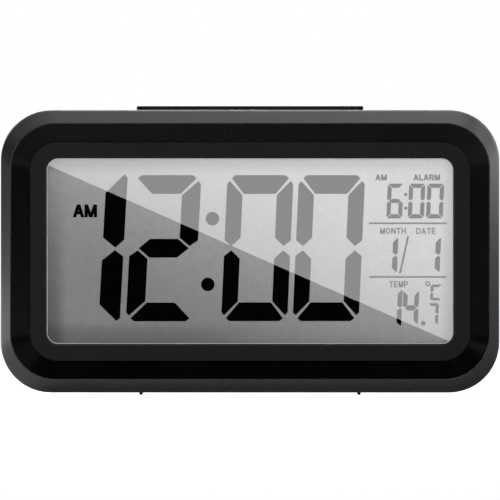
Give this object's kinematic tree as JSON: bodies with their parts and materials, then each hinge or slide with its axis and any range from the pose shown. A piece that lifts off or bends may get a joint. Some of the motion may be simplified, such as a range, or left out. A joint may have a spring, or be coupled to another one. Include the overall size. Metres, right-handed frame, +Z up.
{
  "type": "digital alarm clock",
  "caption": "Oblong desk clock with a large liquid crystal display, a wide snooze bar on top, keys, switches and a battery door on the back.",
  "frame": {"origin": "centre of the bounding box's bottom face, on the surface that the skids stand on", "axes": "+X to the right as the display is read, +Y from the display to the back, +Z up"},
  "size_m": [0.135, 0.045, 0.0784],
  "materials": {
    "case_plastic": "fine satin texture",
    "button_plastic": "satin",
    "bezel_plastic": "smooth satin",
    "clear_window": "clear, polished",
    "display_glass": "polished",
    "display_film": "glossy polariser",
    "reflector_film": "grey-green, finely grained",
    "inner_plastic": "matt",
    "soft_rubber": "matt silicone",
    "skid_rubber": "matt",
    "circuit_board": "solder mask",
    "resin": "smooth resin",
    "ribbon": "smooth",
    "contact_metal": "bright nickel plate",
    "capacitor_sleeve": "shrunk sleeve",
    "cell_can": "plain printed sleeve",
    "red_sheath": "smooth",
    "black_sheath": "smooth",
    "screw_steel": "zinc plate"
  },
  "bodies": {
    "case": {"alarm_switch_housing": "contact_metal", "backlight_lamp": "resin", "black_battery_lead": "black_sheath", "board_screws": "screw_steel", "buzzer": "inner_plastic", "buzzer_leads": "black_sheath", "case_screws": "screw_steel", "cell_lower": "cell_can", "cell_middle": "cell_can", "cell_upper": "cell_can", "chip_cover": "resin", "crystal_can": "contact_metal", "front_case": "case_plastic", "holder_screws": "screw_steel", "hours_switch_housing": "contact_metal", "inner_bezel": "bezel_plastic", "key_board": "circuit_board", "key_pad": "soft_rubber", "lcd_front_film": "display_film", "lcd_front_glass": "display_glass", "lcd_holder": "inner_plastic", "lcd_rear_glass": "display_glass", "lcd_reflector": "reflector_film", "left_contact_strip": "contact_metal", "left_skid": "skid_rubber", "light_guide": "clear_window", "main_board": "circuit_board", "rear_case": "case_plastic", "red_battery_lead": "red_sheath", "reservoir_capacitor": "capacitor_sleeve", "ribbon_cable": "ribbon", "right_contact_strip": "contact_metal", "right_skid": "skid_rubber", "snooze_board": "circuit_board", "snooze_leads": "black_sheath", "snooze_pad": "soft_rubber", "thermistor": "resin", "window_pane": "clear_window", "zebra_strip": "soft_rubber"},
    "snooze": {"snooze_button": "button_plastic"},
    "mode": {"mode_key": "button_plastic"},
    "set": {"set_key": "button_plastic"},
    "up": {"up_key": "button_plastic"},
    "down": {"down_key": "button_plastic"},
    "alarm_lever": {"alarm_switch_lever": "button_plastic"},
    "hours_lever": {"hours_switch_lever": "button_plastic"},
    "door": {"battery_door": "case_plastic"}
  },
  "joints": [
    {"name": "snooze_press", "type": "slide", "parent": "case", "child": "snooze", "axis": [0, 0, -1], "range_m": [0, 0.0012], "stiffness_N_per_m": 800, "springref_m": -0.001, "deforming": ["snooze_pad"]},
    {"name": "mode_press", "type": "slide", "parent": "case", "child": "mode", "axis": [0, -1, 0], "range_m": [0, 0.0008], "stiffness_N_per_m": 1000, "springref_m": -0.0005, "deforming": ["key_pad"]},
    {"name": "set_press", "type": "slide", "parent": "case", "child": "set", "axis": [0, -1, 0], "range_m": [0, 0.0008], "stiffness_N_per_m": 1000, "springref_m": -0.0005, "deforming": ["key_pad"]},
    {"name": "up_press", "type": "slide", "parent": "case", "child": "up", "axis": [0, -1, 0], "range_m": [0, 0.0008], "stiffness_N_per_m": 1000, "springref_m": -0.0005, "deforming": ["key_pad"]},
    {"name": "down_press", "type": "slide", "parent": "case", "child": "down", "axis": [0, -1, 0], "range_m": [0, 0.0008], "stiffness_N_per_m": 1000, "springref_m": -0.0005, "deforming": ["key_pad"]},
    {"name": "alarm_switch_slide", "type": "slide", "parent": "case", "child": "alarm_lever", "axis": [1, 0, 0], "range_m": [0, 0.002]},
    {"name": "hours_switch_slide", "type": "slide", "parent": "case", "child": "hours_lever", "axis": [1, 0, 0], "range_m": [0, 0.002]},
    {"name": "battery_door_swing", "type": "hinge", "parent": "case", "child": "door", "pos_m": [0, 0.0225, 0.01055], "axis": [-1, 0, 0], "range_deg": [0, 75]}
  ]
}
